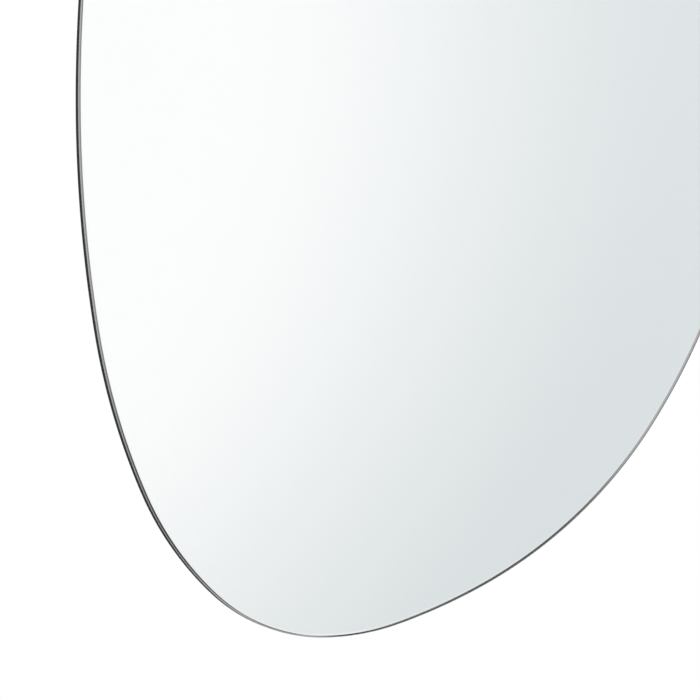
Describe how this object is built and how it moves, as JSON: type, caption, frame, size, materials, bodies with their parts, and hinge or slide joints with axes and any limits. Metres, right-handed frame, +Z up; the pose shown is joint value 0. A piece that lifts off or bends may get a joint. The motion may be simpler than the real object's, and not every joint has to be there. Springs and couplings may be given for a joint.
{
  "type": "irregular wall mirror",
  "caption": "Frameless wall mirror with a lopsided pebble outline, polished edge, dark backing board, swinging ring hangers and wall bumpers.",
  "frame": {"origin": "on the wall plane, behind the middle of the outline's box", "axes": "+Z up as the mirror hangs, the mirror looks along -Y, +X to the right of someone looking into it"},
  "size_m": [0.6, 0.023, 0.9],
  "materials": {
    "clear_glass": "polished",
    "silver": "polished",
    "grey_film": "matte",
    "foam_tape": "matte",
    "dark_band": "satin",
    "fibreboard": "matte",
    "zinc_steel": "satin",
    "screw_steel": "satin",
    "soft_bumper": "matte"
  },
  "bodies": {
    "mirror": {"mirror_glass": "clear_glass", "silver_coating": "silver", "safety_film": "grey_film", "perimeter_tape": "foam_tape", "mounting_strip_far_left": "foam_tape", "mounting_strip_left": "foam_tape", "mounting_strip_right": "foam_tape", "mounting_strip_far_right": "foam_tape", "board_edge_band": "dark_band", "backing_board": "fibreboard", "hanger_strap_top_left": "zinc_steel", "hanger_strap_top_right": "zinc_steel", "hanger_strap_side_upper": "zinc_steel", "hanger_strap_side_lower": "zinc_steel", "hanger_screw_top_left_near": "screw_steel", "hanger_screw_top_left_far": "screw_steel", "hanger_screw_top_right_near": "screw_steel", "hanger_screw_top_right_far": "screw_steel", "hanger_screw_side_upper_near": "screw_steel", "hanger_screw_side_upper_far": "screw_steel", "hanger_screw_side_lower_near": "screw_steel", "hanger_screw_side_lower_far": "screw_steel", "bumper_right": "soft_bumper", "bumper_upper_right": "soft_bumper", "bumper_top": "soft_bumper", "bumper_upper_left": "soft_bumper", "bumper_left": "soft_bumper", "bumper_lower_left": "soft_bumper", "bumper_bottom": "soft_bumper", "bumper_lower_right": "soft_bumper"},
    "ring_top_left": {"hanger_ring_top_left": "zinc_steel"},
    "ring_top_right": {"hanger_ring_top_right": "zinc_steel"},
    "ring_side_upper": {"hanger_ring_side_upper": "zinc_steel"},
    "ring_side_lower": {"hanger_ring_side_lower": "zinc_steel"}
  },
  "joints": [
    {"name": "ring_swing_top_left", "type": "hinge", "parent": "mirror", "child": "ring_top_left", "pos_m": [-0.161, -0.0034, 0.28], "axis": [-1, 0, 0], "range_deg": [0, 174]},
    {"name": "ring_swing_top_right", "type": "hinge", "parent": "mirror", "child": "ring_top_right", "pos_m": [0.139, -0.0034, 0.28], "axis": [-1, 0, 0], "range_deg": [0, 174]},
    {"name": "ring_swing_side_upper", "type": "hinge", "parent": "mirror", "child": "ring_side_upper", "pos_m": [-0.19, -0.0034, 0.185], "axis": [0, 0, -1], "range_deg": [0, 174]},
    {"name": "ring_swing_side_lower", "type": "hinge", "parent": "mirror", "child": "ring_side_lower", "pos_m": [-0.19, -0.0034, -0.155], "axis": [0, 0, -1], "range_deg": [0, 174]}
  ]
}
